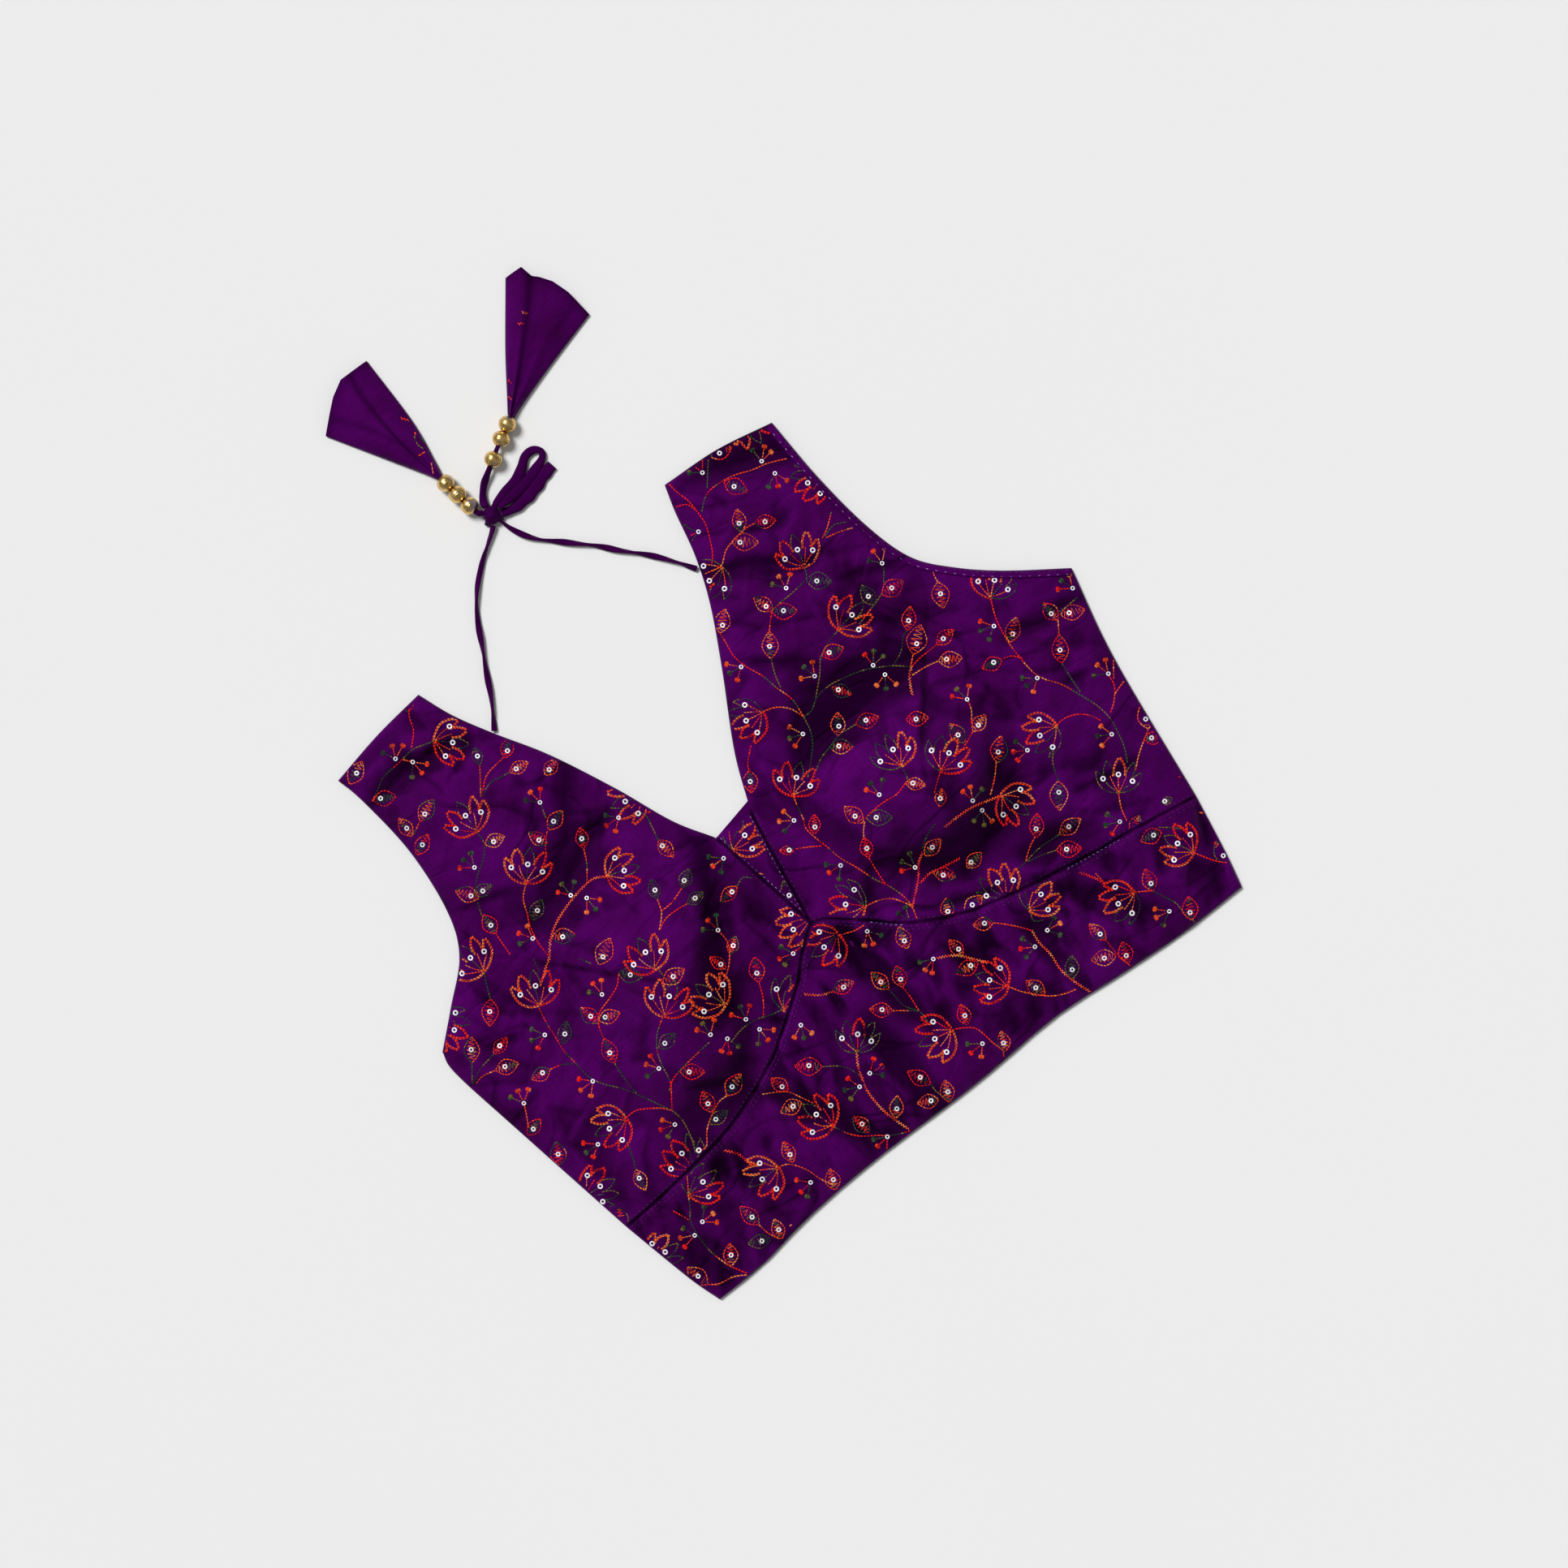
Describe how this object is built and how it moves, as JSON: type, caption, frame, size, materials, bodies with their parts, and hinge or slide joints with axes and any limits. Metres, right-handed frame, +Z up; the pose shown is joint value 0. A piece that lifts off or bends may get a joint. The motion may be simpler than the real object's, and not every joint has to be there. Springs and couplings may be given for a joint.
{
  "type": "choli blouse",
  "caption": "Sleeveless choli blouse laid flat, front up, with padded cups, a deep neck, a waist band and a tied dori with beads and cloth tassels.",
  "frame": {"origin": "on the table, under the middle of the garment's plan box without its strings", "axes": "+X along the hem towards the wearer's left, +Y from the hem to the shoulders, +Z up from the table"},
  "size_m": [0.4612, 0.5535, 0.0302],
  "materials": {
    "purple_silk": "plain-woven silk with a soft sheen, embroidered",
    "purple_facing": "plain-woven silk facing, topstitched",
    "purple_cord": "folded and twisted silk string",
    "gold_bead": "polished, a little worn"
  },
  "bodies": {
    "root": {"back": "purple_silk", "front_left": "purple_silk", "front_right": "purple_silk", "centre_gusset": "purple_silk", "front_band": "purple_silk", "armhole_facing_right": "purple_facing", "dori_string_left": "purple_cord", "dori_string_right": "purple_cord", "dori_tail_left": "purple_cord", "dori_tail_right": "purple_cord", "dori_tail_link": "purple_cord", "dori_knot": "purple_cord", "dori_bow_loop": "purple_cord", "dori_bow_tab": "purple_cord", "bead_left_1": "gold_bead", "bead_left_2": "gold_bead", "bead_left_3": "gold_bead", "bead_right_1": "gold_bead", "bead_right_2": "gold_bead", "bead_right_3": "gold_bead", "tassel_left": "purple_silk", "tassel_right": "purple_silk"}
  },
  "joints": []
}
